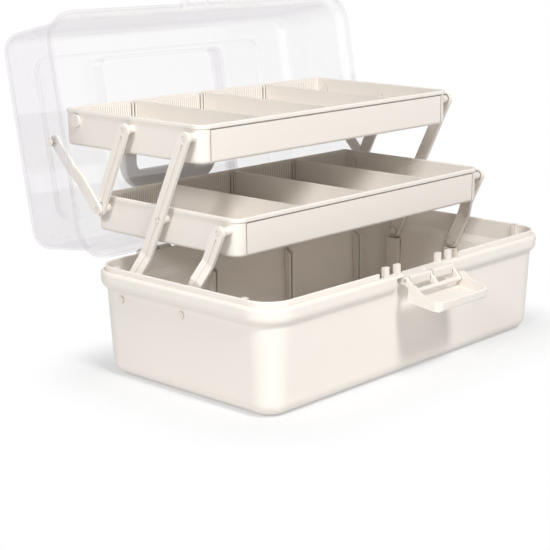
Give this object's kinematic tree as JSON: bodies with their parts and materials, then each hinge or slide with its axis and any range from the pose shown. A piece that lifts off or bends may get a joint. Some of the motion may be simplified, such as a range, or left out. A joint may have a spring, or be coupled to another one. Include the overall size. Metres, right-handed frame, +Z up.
{
  "type": "vanity case with rising trays",
  "caption": "Portable vanity case: open-topped tub, clear hinged lid with folding handle, front clasp, and two divided trays that rise forward on linked arms.",
  "frame": {"origin": "centre of the underside, on the foot that the case stands on", "axes": "+X along the length to the right, -Y to the front where the clasp is, +Z up; stored with the lid open and the trays raised, so that the open lid and the lever make the depth 331 mm, just over the 330 mm length"},
  "size_m": [0.33, 0.331, 0.2721],
  "materials": {
    "cream_plastic": "satin moulded cream plastic",
    "clear_plastic": "clear glossy moulded plastic",
    "hinge_steel": "plain drawn steel pin"
  },
  "bodies": {
    "tub": {"tub": "cream_plastic", "tub_rivets": "cream_plastic", "hinge_pin_left": "hinge_steel", "hinge_pin_right": "hinge_steel", "clasp_hinge_pin": "hinge_steel"},
    "lid": {"lid": "clear_plastic", "lid_rivets": "cream_plastic", "handle_pins": "hinge_steel"},
    "handle": {"handle": "cream_plastic"},
    "clasp_link": {"clasp_link": "cream_plastic"},
    "clasp_lever": {"clasp_lever": "cream_plastic"},
    "short_arms": {"short_arm_left": "cream_plastic", "short_arm_right": "cream_plastic"},
    "long_arms": {"long_arm_left": "cream_plastic", "long_arm_right": "cream_plastic"},
    "upper_arms": {"upper_arm_left": "cream_plastic", "upper_arm_right": "cream_plastic"},
    "lid_links": {"lid_link_left": "cream_plastic", "lid_link_right": "cream_plastic"},
    "lower_tray": {"lower_tray": "cream_plastic", "lower_tray_rivets": "cream_plastic", "lower_divider_left": "cream_plastic", "lower_divider_centre": "cream_plastic", "lower_divider_right": "cream_plastic"},
    "upper_tray": {"upper_tray": "cream_plastic", "upper_tray_rivets": "cream_plastic", "upper_divider_left": "cream_plastic", "upper_divider_centre": "cream_plastic", "upper_divider_right": "cream_plastic"}
  },
  "joints": [
    {"name": "lid_hinge", "type": "hinge", "parent": "tub", "child": "lid", "pos_m": [0, 0.095, 0.081], "axis": [1, 0, 0], "range_deg": [0, 100]},
    {"name": "short_arm_hinge", "type": "hinge", "parent": "tub", "child": "short_arms", "pos_m": [0, -0.0027, 0.0613], "axis": [1, 0, 0], "range_deg": [0, 39.89]},
    {"name": "long_arm_hinge", "type": "hinge", "parent": "tub", "child": "long_arms", "pos_m": [0, 0.0605, 0.0613], "axis": [1, 0, 0], "range_deg": [0, 39.89]},
    {"name": "lower_tray_hinge", "type": "hinge", "parent": "long_arms", "child": "lower_tray", "pos_m": [0, 0.0309, 0.12252], "axis": [1, 0, 0], "range_deg": [-39.89, 0]},
    {"name": "upper_tray_hinge", "type": "hinge", "parent": "long_arms", "child": "upper_tray", "pos_m": [0, 0.00131, 0.18374], "axis": [1, 0, 0], "range_deg": [-39.89, 0]},
    {"name": "upper_arm_hinge", "type": "hinge", "parent": "lower_tray", "child": "upper_arms", "pos_m": [0, 0.0941, 0.12252], "axis": [1, 0, 0], "range_deg": [0, 39.89]},
    {"name": "lid_link_hinge", "type": "hinge", "parent": "lower_tray", "child": "lid_links", "pos_m": [0, 0.0941, 0.12252], "axis": [1, 0, 0], "range_deg": [0, 116.52]},
    {"name": "handle_pivot", "type": "hinge", "parent": "lid", "child": "handle", "pos_m": [0, 0.18142, 0.16223], "axis": [1, 0, 0], "range_deg": [-10, 170]},
    {"name": "clasp_link_hinge", "type": "hinge", "parent": "tub", "child": "clasp_link", "pos_m": [0, -0.097, 0.0765], "axis": [1, 0, 0], "range_deg": [0, 45.81]},
    {"name": "clasp_lever_hinge", "type": "hinge", "parent": "clasp_link", "child": "clasp_lever", "pos_m": [0, -0.10453, 0.06918], "axis": [1, 0, 0], "range_deg": [-142.8, 0]}
  ],
  "couplings": [
    {"joint": "short_arm_hinge", "follows": "lid_hinge", "ratio": 0.39884},
    {"joint": "long_arm_hinge", "follows": "lid_hinge", "ratio": 0.39884},
    {"joint": "lower_tray_hinge", "follows": "lid_hinge", "ratio": -0.39884},
    {"joint": "upper_tray_hinge", "follows": "lid_hinge", "ratio": -0.39884},
    {"joint": "upper_arm_hinge", "follows": "lid_hinge", "ratio": 0.39884},
    {"joint": "lid_link_hinge", "follows": "lid_hinge", "ratio": 1.1642},
    {"joint": "clasp_link_hinge", "follows": "clasp_lever_hinge", "ratio": -0.32073}
  ]
}
